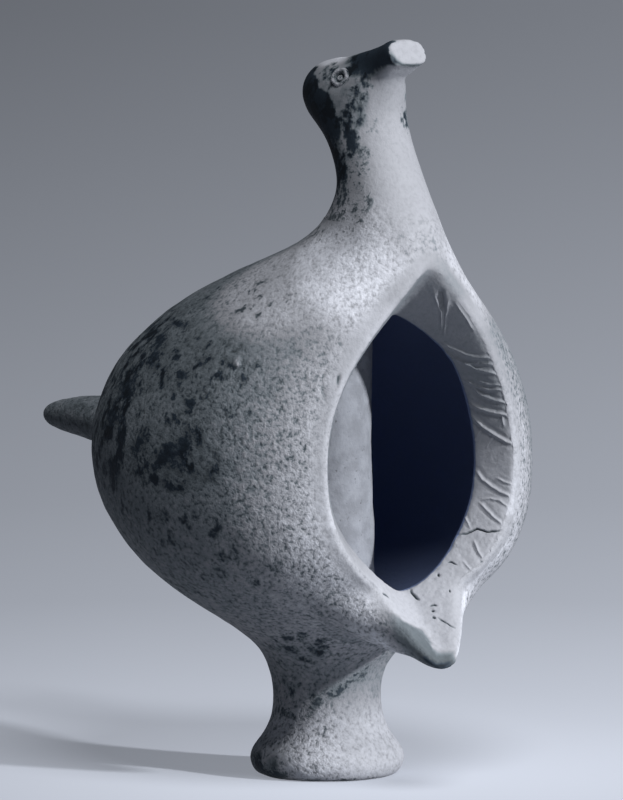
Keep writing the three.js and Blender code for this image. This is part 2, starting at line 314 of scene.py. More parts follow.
def joined_skin():
    """The luted members as one closed mesh of even quads."""
    points, faces = [], []
    for node in SKIN_NODES:
        more_points, more_faces = swollen_copy(node)
        faces += [[index + len(points) for index in face] for face in more_faces]
        points += more_points
    rough = bpy.data.meshes.new("members")
    rough.from_pydata(points, [], faces)
    holder = mesh_object("members", rough)
    remesh = holder.modifiers.new("voxels", "REMESH")
    remesh.mode = "VOXEL"
    remesh.voxel_size = VOXEL * MM
    graph = bpy.context.evaluated_depsgraph_get()
    even = bpy.data.meshes.new_from_object(holder.evaluated_get(graph))
    bpy.data.objects.remove(holder)
    even.name = "vessel_skin"
    return even


# The skin's surface

# The cut's rays run from this point through the wall. Cut and hollow lie within this reach of it and
# between these heights, and the cut lies in front of this place.
CUT_AIM = (-12.0, 0.0, 103.2)
CUT_REACH = 97
CUT_HEIGHTS = (38.5, 168)
CUT_FRONT = 6
# Below this height only what faces up this much counts as the cut
LOW_CUT_HEIGHT = 64
LOW_CUT_UPWARD = 0.25
# How squarely the surface faces along its ray: hardly on the cut, and backwards on the inside
CUT_FACING = (0.62, 0.35)
HOLLOW_FACING = (-0.35, -0.6)
# The turn between two neighbours' directions at a crease
CREASE_TURN = (0.02, 0.06)


def facing_rays(points, normals):
    """How squarely each point's surface faces along its ray, and whether it is near enough to the cut."""
    away = points - CUT_AIM
    facing = np.sum(normals * unit_rows(away), axis=1)
    low, high = CUT_HEIGHTS
    near = (np.linalg.norm(away, axis=1) < CUT_REACH) & (points[:, 2] < high) & (points[:, 2] > low)
    return facing, near


def cut_share(mesh, points):
    """1 on the cut face of the opening."""
    normals = read_normals(mesh)
    facing, near = facing_rays(points, normals)
    upward = normals[:, 2] > LOW_CUT_UPWARD
    in_front = (points[:, 0] > CUT_FRONT) & ((points[:, 2] > LOW_CUT_HEIGHT) | upward)
    return smooth_step(*CUT_FACING, np.abs(facing)) * near * in_front


def hollow_share(mesh, points):
    """1 on the inside of the hollow."""
    facing, near = facing_rays(points, read_normals(mesh))
    return smooth_step(*HOLLOW_FACING, facing) * near


def crease_share(mesh, ends):
    """1 where the surface turns sharply."""
    normals = read_normals(mesh)
    first, second = ends
    turn = 1 - np.sum(normals[first] * normals[second], axis=1)
    sharpest = np.zeros(len(normals))
    np.maximum.at(sharpest, first, turn)
    np.maximum.at(sharpest, second, turn)
    return smooth_step(*CREASE_TURN, sharpest)


def refine(mesh, wanted):
    """Cuts the edges between the wanted vertices into shorter ones."""
    work = bmesh.new()
    work.from_mesh(mesh)
    edges = [edge for edge in work.edges if all(wanted[vertex.index] for vertex in edge.verts)]
    bmesh.ops.subdivide_edges(work, edges=edges, cuts=CUT_DIVISIONS, use_grid_fill=True)
    work.to_mesh(mesh)
    work.free()
    mesh.update()


# How many times the skin is smoothed: less on slender members and on the sharp edges of the cut
FIRST_PASSES = 4.0
BODY_PASSES = 55
SLENDER_PASSES_LESS = 42
CREASE_BLUR_PASSES = 4.0
CUT_EDGE_PASSES = 18
FINE_EDGE_PASSES = 22.0
# What the bill is spared of the first passes and of the later ones, and how strongly a crease holds
BILL_SPARED_FIRST = 0.7
BILL_SPARED = 0.9
CREASE_HOLD = 1.4
# Where the lip runs into the body, its joint is smoothed away
LIP_JOINT = (((34, -20, 47), (24, 26, 13), 1.0),)
LIP_JOINT_PASSES = 160
# How many rings of neighbours are taken in
CUT_RINGS = 4
CREASE_RINGS = 3
JOINT_RINGS = 7
REFINED_RINGS = 2
FINE_EDGE_RINGS = 3

# Zones: neck, stem and tail are slender, and the bill reaches forward at the height of the head
SLENDER = (dict(z=(160, 185)), dict(z=(40, 30)), dict(x=(-68, -80)))
BILL = dict(x=(33, 37))
BILL_END = dict(x=(34, 37))
HEAD_BOTTOM = 195
FOOT_EDGE = dict(z=(10, 6))
REFINED_FRONT = 8

# The lower edge of the bright rim and of the lip, in pixels of the photograph. Below it the underside
# carries painted shade.
RIM_EDGE = (
    (312, 545), (323, 553), (334.4, 565), (348.2, 576), (357.4, 588), (374.6, 600.5), (380.4, 607),
    (395.3, 615.5), (412.5, 625), (425, 630), (433, 635.3), (437, 646), (441.5, 651.5), (451, 653),
    (461, 651),
)

# Marks of the knife on both sides of the cut face: height in mm, width in pixels, line in pixels of the
# photograph. A height below 0 is a groove.
KNIFE_MARKS = (
    (0.45, 1.1, ((441, 343), (454, 348.6), (467, 355), (480, 357), (492, 357.5))),
    (0.3, 1, ((465, 362.5), (479, 364.5), (495, 364))),
    (0.55, 1.2, ((441, 348), (454, 357), (466, 364), (476, 368.4), (489, 371.6), (502, 375.6))),
    (0.35, 1, ((462, 379), (476, 386), (489, 390), (505, 389.4))),
    (0.25, 0.8, ((478, 381), (490, 385), (503, 384.6))),
    (0.5, 1.1, ((472, 387), (482.4, 395.2), (495.2, 400.3), (509, 402.8))),
    (0.6, 1.2, ((469, 403), (482.4, 409.2), (495.2, 413), (510, 415.6))),
    (0.35, 0.9, ((501.6, 415.6), (504, 426))),
    (0.65, 1.2, ((472, 416), (482.4, 426.4), (495.2, 434.7), (506.7, 441.8), (516, 444.6))),
    (0.3, 0.9, ((481, 429.6), (477, 436), (473.5, 443.7))),
    (0.25, 0.8, ((493, 436), (486.3, 447.5))),
    (0.48, 1.2, ((475.5, 470), (483, 479.6), (492, 486.6), (502, 492.3), (514, 499))),
    (0.3, 0.9, ((497, 478.3), (504, 482), (513, 484.5))),
    (0.42, 1.1, ((479, 502.5), (486.8, 510), (494.4, 517.8), (503, 525))),
    (0.3, 1, ((481.7, 500), (490, 498), (500, 500.5), (509, 508))),
    (0.32, 0.9, ((464.5, 514), (467, 521), (470.2, 528))),
    (0.4, 1.1, ((474, 540.8), (477.8, 551), (485.5, 562.5), (492, 569))),
    (0.32, 0.9, ((462.5, 560), (471.5, 571.4), (479, 580.4))),
    (0.4, 1, ((434.6, 294.4), (438, 303), (441, 312.2), (441.6, 330))),
    (0.25, 0.9, ((449, 298), (445.4, 316), (444, 335))),
    (0.35, 0.9, ((455.6, 303.3), (467.1, 320), (473.5, 330))),
    (-1.1, 1.9, ((440, 291), (441.4, 300), (443, 309))),
)
# The share of their height on the opening's far side and on its near one, and where they begin
FAR_MARK_DEPTH = 0.8
NEAR_MARK_DEPTH = 0.2
MARK_TAPER = 0.2
MARK_CUT = (0.4, 0.9)
MARK_FRONT = 12
# The dip beside a mark: its place and width in widths of the mark, its depth as a share of its height
DIP_PLACE = 3
DIP_WIDTH = 1.6
DIP_SHARE = 0.35
# How far the marks of the knife and all others stray from their lines, in pixels
KNIFE_STRAY = 0.5
MARK_STRAY = 0.9
# Cracks and pits in the cut face and the rim, with painted shade inside: depth in mm, width in pixels, line
# in pixels
CRACKS = (
    (0.9, 0.8, ((456, 535.4), (466.4, 533.1), (476.6, 529.3), (489.3, 531.6), (503.4, 530.6))),
    (0.5, 0.6, ((447.2, 562), (452, 562.6), (457.4, 564.4))),
    (0.9, 1, ((409, 588.5), (413, 594), (419, 599.5))),
    (0.6, 0.7, ((430, 606), (434, 605), (437, 606))),
    (0.9, 1.3, ((432.4, 610), (432.6, 612))),
    (0.6, 0.8, ((432, 617), (436, 619))),
    (0.35, 0.6, ((437, 617.4), (446, 622.6), (455, 628.2))),
    (0.8, 1.1, ((438, 573), (438.4, 576))),
    (0.6, 0.8, ((449.6, 589.6), (450, 592.4))),
    (0.7, 0.9, ((481.4, 561), (482.2, 562.8))),
    (0.25, 0.6, ((383, 593), (389, 598))),
)
# Marks on the outside of the bird's right: height in mm, width in pixels, darkness, line in pixels. Darkness
# in a groove is painted shade.
OUTER_MARKS = (
    (-0.8, 1.1, 1, ((339.6, 373.9), (338.4, 380), (337.2, 386.9))),
    (-0.4, 1, 0.5, ((329, 366.6), (324, 375), (320.9, 386.1), (323, 396), (327.4, 404))),
    (0.5, 2.4, -0.6, ((235.6, 357), (236, 364), (240, 365))),
    (-0.5, 1.4, 0.8, ((230, 352), (238, 350.5))),
    # Painted shade under the bill's end face and along the bill's lower edge, with no relief
    (0, 1.7, 0.9, ((389, 49), (391.6, 55), (396.5, 61.5), (403, 65), (415, 65.6), (426, 64.6))),
    (0, 2.4, 0.9, ((388, 54), (391.5, 60.5), (397, 66))),
    # Painted shade under the lip's nub, with no relief
    (0, 2.8, 0.95, ((418, 654), (427, 661), (435.5, 665.5), (444, 665.5), (455, 661))),
)
# Black stains on the outside of the bird's right, and two painted shadows among them: width in pixels,
# strength, line in pixels
STAINS_AND_SHADOWS = (
    (3, 0.8, ((232, 314), (248, 307), (251, 312))),
    (2, 0.8, ((254, 315), (261, 312))),
    (2.4, 0.9, ((202, 352), (207, 347), (212, 342))),
    (3.4, 0.9, ((175.5, 353), (176, 361))),
    (3.2, 0.8, ((194, 357), (199, 361), (204, 367))),
    (5, 1, ((177, 371), (182, 376), (189, 373))),
    (3, 0.8, ((219, 364), (224, 359), (229, 357))),
    (5, 0.7, ((238, 372), (243, 377), (239, 381))),
    (3, 0.8, ((172, 388), (174, 395), (171, 399))),
    (4.5, 1, ((184, 399), (190, 405), (192, 400))),
    (4, 0.9, ((187, 410), (186, 415))),
    (3.5, 0.8, ((172, 415), (177, 420), (181, 424))),
    (3, 0.7, ((203, 420), (210, 417))),
    (3, 0.7, ((229, 416), (236, 414))),
    (4.5, 0.9, ((192, 322), (184, 328), (174, 321))),
    (6, 1, ((166, 330), (159, 343), (154, 356), (149, 365))),
    (9, 1, ((135, 374), (129, 388), (122, 402))),
    (4.5, 0.9, ((141, 356), (146, 352))),
    (6, 0.9, ((116, 400), (114, 416), (111, 432))),
    (8, 0.8, ((150, 425), (140, 442), (128, 455))),
    (11, 1, ((196, 430), (182, 443), (168, 456), (150, 466))),
    (7, 0.8, ((108, 455), (112, 470), (120, 482))),
    (6, 0.8, ((160, 480), (172, 488), (190, 486))),
    (6, 0.6, ((352, 84), (356, 95), (350, 105), (343, 118), (347, 131))),
    (7.5, 0.76, ((340, 142), (344, 160), (345, 178), (343, 197), (336, 214), (321, 231), (305, 241))),
    (12, 0.42, ((357, 150), (361, 176), (362, 200), (352, 222), (334, 243))),
    (4, 0.7, ((306, 644), (313, 652), (321, 656))),
    (3, 0.7, ((296, 640), (305, 636))),
    (3, 0.6, ((262, 560), (270, 567), (283, 575))),
    (3, 0.6, ((230, 545), (238, 552))),
    (7, 0.9, ((250, 754), (258, 766), (274, 775), (296, 780))),
    # Painted shadow: the dark contact shadow along the bottom of the foot's pad
    (2.4, 0.8, ((294, 779), (325, 781.5), (358, 781), (386, 777))),
    # Painted shadow: the body's shadow across the stem
    (7, 0.5, ((376, 664), (353, 681), (324, 699), (304, 720), (288, 738))),
)
# How much of each stain and painted shadow is left at its ends
STAIN_AND_SHADOW_END = 0.4
# The right edge of the black at the back of the head and neck, in pixels of the photograph
HEAD_BLACK_EDGE = ((315, 56), (316, 75), (320, 87), (330, 94), (335, 112), (341, 130), (343, 145))

# The opening's outline is taken in so many directions, from what is fully cut this far forward
OUTLINE_BINS = 48
FULLY_CUT = 0.9
OUTLINE_FRONT = 20
LEAST_FORWARD = 1.0


def rim_distance(points, cut):
    """How far outside the opening's outline each point stands, in mm."""
    away = points - CUT_AIM
    forward = np.maximum(away[:, 0], LEAST_FORWARD)
    sideways, upward = np.abs(away[:, 1]) / forward, away[:, 2] / forward
    angle, slope = np.arctan2(upward, sideways), np.hypot(sideways, upward)
    edges = np.linspace(-math.pi / 2, math.pi / 2, OUTLINE_BINS + 1)
    on_cut = (cut > FULLY_CUT) & (points[:, 0] > OUTLINE_FRONT)
    bins = np.digitize(angle[on_cut], edges) - 1
    bins = np.clip(bins, 0, OUTLINE_BINS - 1)
    counts = np.bincount(bins, minlength=OUTLINE_BINS)
    means = np.bincount(bins, slope[on_cut], OUTLINE_BINS) / np.maximum(counts, 1)
    filled = counts > 0
    middles = (edges[:-1] + edges[1:]) / 2
    outline = np.interp(angle, middles[filled], means[filled])
    return (slope - outline) * forward


# Smoke that darkened the clay, on both sides of the bird: centre and radii in mm, and strength
SMOKE_PATCHES = (
    ((5, -11, 192), (16, 9, 8.5), 0.8),
    ((27, -10, 201), (7, 6, 8), 0.5),
    ((14, -11, 183), (11, 8, 13), 0.75),
    ((31, -8, 217.5), (15, 7, 6.5), 1),
    ((20, -10, 207), (9, 7, 8), 0.3),
    ((-30, -50, 125), (36, 36, 30), 0.42),
    ((-60, 0, 112), (42, 60, 44), 0.36),
    ((10, -30, 150), (34, 12, 9), 0.25),
    ((17, -60, 98), (14, 12, 12), 0.44),
    ((14, -18, 40), (10, 11, 5), 0.36),
    ((-5, -25, 4), (14, 11, 6.5), 0.57),
    ((-10, 0, 22), (16, 20, 15), 0.52),
    ((57, 0, 36.5), (8, 10, 4.5), 0.6),
    ((-115, 0, 95), (50, 20, 20), 0.38),
)
# Fields of black blotches, in the same form
BLOTCH_FIELDS = (
    ((0, -62, 116), (42, 30, 32), 0.4),
    ((-34, -52, 112), (24, 30, 40), 0.62),
    ((-18, -60, 108), (9, 16, 28), 0.72),
    ((-10, -50, 70), (52, 44, 26), 0.4),
    ((14, -18, 41), (14, 14, 7), 0.55),
    ((6, -20, 22), (20, 16, 15), 0.42),
    ((18, -10, 200), (18, 9, 22), 0.62),
    ((17, -10, 206), (14, 9, 11), 0.68),
    ((24, -48, 124), (10, 9, 8), 0.4),
    ((12, -38, 146), (24, 12, 10), 0.3),
)

# The bright rim and the lip lie in front of, below and right of these. Their edge is so soft, in pixels.
RIM_FRONT = 25
RIM_TOP = 80
RIM_PIXELS = (312, 326)
RIM_SOFTNESS = (-2.0, 2.2)
BLACK_SOFTNESS = (3.5, -3.0)
BLACK_ZONE = dict(z=(186, 194))


def below_rim_edge(points):
    """1 below the edge of the bright rim and lip, where the underside's painted shade goes, and 1 near the
    rim.
    """
    across, down = in_picture(on_the_right(points)).T
    gap = down - np.interp(across, *np.array(RIM_EDGE).T) + uneven(points, RIM_EDGE_WANDER)
    near = (points[:, 0] > RIM_FRONT) * smooth_step(*RIM_PIXELS, across) * (points[:, 2] < RIM_TOP)
    return smooth_step(*RIM_SOFTNESS, gap) * near, near


def head_black(points):
    """1 on the black back of the head and neck."""
    across, down = in_picture(on_the_right(points)).T
    edge_across, edge_down = np.array(HEAD_BLACK_EDGE).T
    gap = across - np.interp(down, edge_down, edge_across) + uneven(points, BLACK_EDGE_WANDER)
    return smooth_step(*BLACK_SOFTNESS, gap) * zone(points, **BLACK_ZONE)


def stain_and_shadow_share(seen, outer):
    """1 in the black stains and in the painted shadows on the stem and along the foot's pad."""
    share = np.zeros(len(seen))
    for width, strength, line in STAINS_AND_SHADOWS:
        gap, taper = line_gap(seen, line)
        left = STAIN_AND_SHADOW_END + (1 - STAIN_AND_SHADOW_END) * taper
        share = np.maximum(share, strength * left * np.exp(-((gap / width) ** 2)))
    return share * outer


# How pale the clay is, from 0 for black to 1 for white: each a line of places in mm and one of tones there.
# The factors multiply those tones.
BODY_TONES = (
    (-95, -75, -62, -45, -30, 8, 20, 28, 36, 41, 46, 50),
    (0.2, 0.22, 0.3, 0.21, 0.18, 0.16, 0.17, 0.2, 0.24, 0.32, 0.37, 0.44),
)
BODY_HEIGHT_FACTORS = ((36, 44, 52, 68, 95, 120, 145), (1.35, 1.7, 1.36, 1.2, 0.97, 0.87, 0.87))
FRONT_HEIGHT_FACTORS = ((60, 78, 110, 135), (1.25, 1.0, 1.0, 0.7))
PALEST_BODY = 0.55
SHOULDER_TONES = ((-19, -9), (0.65, 0.46))
SHOULDERS = (((36, -17, 158), (25, 20, 22), 1.0), ((18, -30, 150), (24, 22, 18), 0.5))
NECK_BASE = (((51, 0, 167), (12, 13, 12), 1.0),)
NECK_BASE_TONE = 0.32
NECK_TONES = ((18, 30), (0.25, 0.32))
ABOVE_CUT_TONES = ((-4, 6), (0.32, 0.24))
BRIGHT_RIM_TONE = 0.36
FOOT_TONES = ((14, 24), (0.42, 0.33))
FOOT_SIDE_FACTORS = ((4, 14), (0.95, 1.1))
HEAD_TOP = (((8, -3, 214.5), (9, 6, 3.5), 1.0),)
HEAD_TOP_TONE = 0.55
FAR_CUT_TONES = ((50, 62, 78, 88, 105, 125, 145), (0.38, 0.34, 0.35, 0.33, 0.28, 0.24, 0.27))
NEAR_CUT_TONES = ((60, 76, 88, 105), (0.4, 0.28, 0.21, 0.2))
# Painted shade: the underside below the rim's edge takes these darker tones
UNDERSIDE_SHADE_TONES = ((34, 40, 46, 50, 53, 60), (0.24, 0.34, 0.42, 0.26, 0.14, 0.11))

# Where these tones hold: zones, and widths along the opening's outline, in mm
FAR_FRONT = dict(x=(38, 44), y=(-16, -4))
NECK_ZONE = dict(x=(14, 34), z=(160, 178))
# How far the neck's root moves back, and its shade forward, for each mm above these heights
NECK_ROOT_LEAN = 0.6
NECK_ROOT_HEIGHT = 170
NECK_LEAN = 0.4
NECK_LEAN_HEIGHT = 200
ABOVE_CUT = dict(z=(135, 150))
ABOVE_CUT_WIDTH = (12, 4)
BRIGHT_RIM_WIDTH = (11, 7)
FOOT_ZONE = dict(z=(30, 16))
NEAR_SIDE = dict(y=(3, -3))
LIP_FACE = dict(y=(-2.4, 0.6), z=(41, 43.5))
LIP_LEFT = dict(x=(44, 48), y=(2, 6), z=(38, 42))


def body_tone(points):
    """How pale the body is, with its shoulders and the root of the neck."""
    x, y, z = points.T
    front = 1 + (np.interp(z, *FRONT_HEIGHT_FACTORS) - 1) * zone(points, **FAR_FRONT)
    body = np.interp(x, *BODY_TONES) * np.interp(z, *BODY_HEIGHT_FACTORS) * front
    body = np.minimum(body, PALEST_BODY)
    body = blended(body, np.interp(y, *SHOULDER_TONES), patch_share(points, SHOULDERS))
    return blended(body, NECK_BASE_TONE, patch_share(points, NECK_BASE))


def skin_tone(points, rim, cut, hollow):
    """How pale the clay is, from 0 for black to 1 for white, with painted shade on the underside below the
    rim's edge.
    """
    x, y, z = points.T
    neck_start = np.column_stack([x + NECK_ROOT_LEAN * (z - NECK_ROOT_HEIGHT), y, z])
    below, near_rim = below_rim_edge(points)
    far_cut, near_cut = np.interp(z, *FAR_CUT_TONES), np.interp(z, *NEAR_CUT_TONES)
    strayed = np.column_stack([x, y + uneven(points, LIP_EDGE_WANDER), z])
    not_under = np.maximum(cut * zone(strayed, **LIP_FACE), zone(points, **LIP_LEFT))
    layers = (
        (np.interp(x - NECK_LEAN * (z - NECK_LEAN_HEIGHT), *NECK_TONES), zone(neck_start, **NECK_ZONE)),
        (np.interp(y, *ABOVE_CUT_TONES), smooth_step(*ABOVE_CUT_WIDTH, rim) * zone(points, **ABOVE_CUT)),
        (BRIGHT_RIM_TONE, near_rim * smooth_step(*BRIGHT_RIM_WIDTH, rim) * (1 - below)),
        (np.interp(z, *FOOT_TONES) * np.interp(x, *FOOT_SIDE_FACTORS), zone(points, **FOOT_ZONE)),
        (HEAD_TOP_TONE, patch_share(points, HEAD_TOP)),
        (blended(far_cut, near_cut, zone(points, **NEAR_SIDE)), cut),
        # Painted shade on the underside below the rim's edge
        (np.interp(x, *UNDERSIDE_SHADE_TONES), below * (1 - not_under)),
    )
    tone = body_tone(points)
    for layer, share in layers:
        tone = blended(tone, layer, share)
    return tone * (1 - hollow)


# The grain is finer in these zones by so much, and along the rim
FINER_ZONES = ((0.85, dict(z=(160, 185))), (0.5, dict(x=(-12, 16), z=(116, 142))))
RIM_FINER = 0.7
RIM_FINER_WIDTH = (9, 4)
RIM_FINER_FRONT = 10
# Zones whose x runs to the right in the picture: the neck's shade and its top, and the foot's lit side
NECK_SHADE = dict(x=(22, 10), z=(160, 170))
NECK_SHADE_TOP = dict(z=(196, 188))
NECK_SHADE_COARSER = 0.4
LIT_FOOT = dict(x=(-4, 8), z=(40, 28))
LIT_FOOT_FINER = 0.6
FINEST_GRAIN = 0.12
# The share of the grain's height left on smooth clay, and the cut's own grain in mm
GRAIN_LEFT = 0.4
CUT_GRAIN_HEIGHT = 0.04
LOW_CUT_GRAIN_HEIGHT = 0.10
LOW_CUT = dict(z=(84, 70))
# A surface carries marks if it faces the camera by this much. At the head, the lip and the foot they run on
# over cut faces.
TOWARDS_CAMERA = 0.05
LIP_FRONT = 50
LIP_TOP = 44
FOOT_TOP = 36
BILL_FACE_FORWARD = (0.4, 0.7)
SMOKE_RAGGED = 0.3
BLOTCHES_RAGGED = 0.2


def across_picture(points):
    """Points with their x changed to how far right they stand in the picture, in mm."""
    return np.column_stack([points @ view_axes()[1], points[:, 1:]])


def lit_foot_share(points):
    """1 on the side of the foot and stem that the key lamp lights."""
    return zone(across_picture(points), **LIT_FOOT)


def grain_share(points, rim, cut, hollow):
    """How coarse the clay's grain is, from 0 to 1."""
    grain = 1 - RIM_FINER * smooth_step(*RIM_FINER_WIDTH, rim) * (points[:, 0] > RIM_FINER_FRONT)
    for finer, place in FINER_ZONES:
        grain -= finer * zone(points, **place)
    across = across_picture(points)
    grain += NECK_SHADE_COARSER * zone(across, **NECK_SHADE) * zone(across, **NECK_SHADE_TOP)
    grain -= LIT_FOOT_FINER * lit_foot_share(points)
    return np.clip(grain * (1 - cut) * (1 - hollow), FINEST_GRAIN, 1)


def smooth_skin(mesh):
    """Smooths the joined members, but not the edges of the cut, the bill and the foot."""
    ends = read_edges(mesh)
    points = read_points(mesh)
    crisp = zone(points, **BILL) * (points[:, 2] > HEAD_BOTTOM)
    points = smoothed(points, ends, FIRST_PASSES * (1 - BILL_SPARED_FIRST * crisp))
    write_points(mesh, points)

    cut = cut_share(mesh, points)
    kept = np.clip(spread(cut, ends, CUT_RINGS) + crisp + zone(points, **FOOT_EDGE), 0, 1)
    crease = spread(crease_share(mesh, ends), ends, CREASE_RINGS) * kept
    crease = smoothed(crease[:, None], ends, np.full(len(points), CREASE_BLUR_PASSES))[:, 0]
    slender = np.max([zone(points, **member) for member in SLENDER], axis=0)
    joint = patch_share(points, LIP_JOINT) * (1 - np.clip(spread(cut, ends, JOINT_RINGS), 0, 1))
    passes = (BODY_PASSES - SLENDER_PASSES_LESS * slender) * (1 - BILL_SPARED * crisp)
    passes += LIP_JOINT_PASSES * joint
    passes = passes * (1 - np.clip(crease * CREASE_HOLD, 0, 1)) + CUT_EDGE_PASSES * crease * (1 - crisp)
    write_points(mesh, smoothed(points, ends, passes / (VOXEL / FULL_VOXEL) ** 2))


def refine_cut(mesh):
    """Gives the cut face a finer mesh and smooths it."""
    points = read_points(mesh)
    near_cut = spread(cut_share(mesh, points), read_edges(mesh), REFINED_RINGS)
    refine(mesh, (near_cut > 0.5) & (points[:, 0] > REFINED_FRONT))
    ends = read_edges(mesh)
    points = read_points(mesh)
    near_cut = spread(cut_share(mesh, points), ends, FINE_EDGE_RINGS)
    write_points(mesh, smoothed(points, ends, FINE_EDGE_PASSES * near_cut))


def outer_share(points, towards, cut, hollow):
    """1 where the photograph shows the outside of the bird's right."""
    x, y, z = points.T
    faces_camera = towards > TOWARDS_CAMERA
    at_end = (z > HEAD_BOTTOM) | ((x > LIP_FRONT) & (z < LIP_TOP)) | (z < FOOT_TOP)
    return np.where(at_end & faces_camera, 1.0, faces_camera * (1 - cut) * (1 - hollow) * (y < 0))


def line_share(places, width, line):
    """1 on a bent line, less towards its ends, and 0 beside it."""
    gap, taper = line_gap(places, line)
    return np.exp(-((gap / width) ** 2)) * taper


def relief(points, towards, wander, grain, cut, outer):
    """How far each point is pushed out in mm, and how dark the marks make it, mostly as painted shade in
    cracks and grooves and under the bill and the lip's nub.
    """
    push = uneven(points, HAND_LUMPS) * (1 - cut)
    push += uneven(points, SKIN_GRAIN) * (GRAIN_LEFT + (1 - GRAIN_LEFT) * grain)
    cut_grain = CUT_GRAIN_HEIGHT + LOW_CUT_GRAIN_HEIGHT * zone(points, **LOW_CUT)
    push += cut_grain * uneven(points, CUT_GRAIN) * cut

    on_the_left = points * np.where(points[:, 1:2] < 0, (1, -1, 1), 1)
    seen = in_picture(on_the_left) + KNIFE_STRAY * wander
    depth = np.where(points[:, 1] < 0, NEAR_MARK_DEPTH, FAR_MARK_DEPTH)
    depth = depth * smooth_step(*MARK_CUT, cut) * (points[:, 0] > MARK_FRONT)
    for height, width, line in KNIFE_MARKS:
        gap, taper = line_gap(seen, line, MARK_TAPER)
        dip = np.exp(-(((gap - DIP_PLACE * width) / (DIP_WIDTH * width)) ** 2))
        push += height * depth * taper * (np.exp(-((gap / width) ** 2)) - DIP_SHARE * dip)

    seen = in_picture(points) + MARK_STRAY * wander
    in_front = (towards > TOWARDS_CAMERA) * (points[:, 0] > OUTLINE_FRONT)
    dark = np.zeros(len(points))
    for depth, width, line in CRACKS:
        share = line_share(seen, width, line) * in_front
        push -= depth * share
        dark = np.maximum(dark, share)
    for height, width, darkness, line in OUTER_MARKS:
        share = line_share(seen, width, line) * outer
        push += height * share
        dark += darkness * share
    return push, dark


def build_skin():
    """The fired skin, with what its material needs to know at each vertex."""
    mesh = joined_skin()
    smooth_skin(mesh)
    refine_cut(mesh)

    points, normals = read_points(mesh), read_normals(mesh)
    cut, hollow = cut_share(mesh, points), hollow_share(mesh, points)
    rim = rim_distance(points, cut)
    grain = grain_share(points, rim, cut, hollow)
    lit_foot = lit_foot_share(points)
    towards = normals @ view_axes()[0]
    outer = outer_share(points, towards, cut, hollow)
    wander = np.stack([uneven(points, kind) for kind in MARK_WANDERS], axis=1)
    # Stains, and painted shadows on the stem and along the foot's pad
    stains_and_shadows = stain_and_shadow_share(in_picture(points) + MARK_STRAY * wander, outer)
    # The relief, and the dark of the marks, which is mostly painted shade
    push, dark = relief(points, towards, wander, grain, cut, outer)
    points = points + normals * push[:, None]
    points[:, 2] = np.maximum(points[:, 2], 0)
    write_points(mesh, points)

    at_bill_end = zone(points, **BILL_END) * (points[:, 2] > HEAD_BOTTOM)
    bill_face = smooth_step(*BILL_FACE_FORWARD, normals[:, 0]) * at_bill_end
    clean = 1 - np.clip(cut * (points[:, 2] > LIP_TOP) + hollow + bill_face, 0, 1)
    smoke = np.maximum(patch_share(points, SMOKE_PATCHES, SMOKE_RAGGED), head_black(points))
    blotches = patch_share(points, BLOTCH_FIELDS, BLOTCHES_RAGGED) * (1 - lit_foot)
    looks = {"smoke": smoke * clean, "blotches": blotches * clean, "stains_and_shadows": stains_and_shadows * clean}
    looks |= {"tone": skin_tone(points, rim, cut, hollow), "grain": grain, "dark": dark, "hollow": hollow}
    for name, values in looks.items():
        store(mesh, name, values)
    return mesh_object("vessel_skin", mesh)


# Round pieces


def lathe(name, profile, sides):
    """A closed solid turned about Z from a profile of radii and heights in mm that ends on the axis."""
    work = bmesh.new()
    rings = []
    for radius, height in profile:
        turns = np.arange(sides if radius else 1) * 2 * math.pi / sides
        places = [(radius * math.cos(turn), radius * math.sin(turn), height) for turn in turns]
        rings.append([work.verts.new(Vector(place) * MM) for place in places])
    for low, high in zip(rings, rings[1:]):
        for step in range(sides):
            after = (step + 1) % sides
            corners = [low[step % len(low)], high[step % len(high)]]
            corners += [high[after % len(high)], low[after % len(low)]]
            work.faces.new(list(dict.fromkeys(corners)))
    bmesh.ops.recalc_face_normals(work, faces=work.faces)
    mesh = bpy.data.meshes.new(name)
    work.to_mesh(mesh)
    work.free()
    return mesh


# The column, mm: how much slimmer it is than its foot, how far its ends run into the floor and the roof, and
# how far and how high it widens there
COLUMN_SLIMMER = 1.3
COLUMN_SUNK = 1.5
COLUMN_FLARE = 3.0
COLUMN_FLARE_HEIGHT = 2.5
COLUMN_RINGS = 120
COLUMN_SIDES = 120


def build_column():
    """The clay column in the hollow, wider at its foot, with both ends run into the body."""
    low, high = box_of("inner_column")
    foot_radius = (high[0] - low[0]) / 2
    radius = foot_radius - COLUMN_SLIMMER
    centre = (high[0] + low[0]) / 2
    bottom, top = low[2] - COLUMN_SUNK, high[2] + COLUMN_SUNK
    profile = [(0, bottom)]
    for step in range(COLUMN_RINGS + 1):
        share = step / COLUMN_RINGS
        height = bottom + share * (top - bottom)
        ends = (height - low[2], high[2] - height)
        flare = COLUMN_FLARE * sum(math.exp(-max(gap, 0) / COLUMN_FLARE_HEIGHT) for gap in ends)
        widening = (foot_radius - radius) * max(0, 1 - share * 2)
        profile.append((radius + widening + flare, height))
    profile.append((0, top))
    mesh = lathe("column_skin", profile, COLUMN_SIDES)
    points = read_points(mesh)
    points[:, 0] += centre
    write_points(mesh, points)
    push = uneven(points, COLUMN_LUMPS) + uneven(points, COLUMN_GRAIN)
    write_points(mesh, points + read_normals(mesh) * push[:, None])
    return mesh_object("column_skin", mesh)


# The eye pellets: which way they face, their profile of radii and heights in mm, and the radii and widths
# of their grooves, which are darkened as painted shade
EYE_SIDES = 72
EYE_FACING = (0.45, 1.0, 0.55)
EYE_PROFILE = (
    (0, 0.05), (0.3, 0.05), (0.55, 0.3), (0.8, 0.3), (1.0, 0.05), (1.25, -0.1), (1.5, 0.2), (1.7, 0.7),
    (1.95, 0.95), (2.3, 1.0), (2.65, 0.85), (2.9, 0.45), (3.0, -0.1), (2.8, -0.7), (0, -0.9),
)
EYE_GROOVES = ((0.0, 0.4), (1.2, 0.4))
EYE_LIFT = 0.25
EYE_LOOKS = (("tone", 0.33), ("blotches", 0.45), ("grain", 1.0))


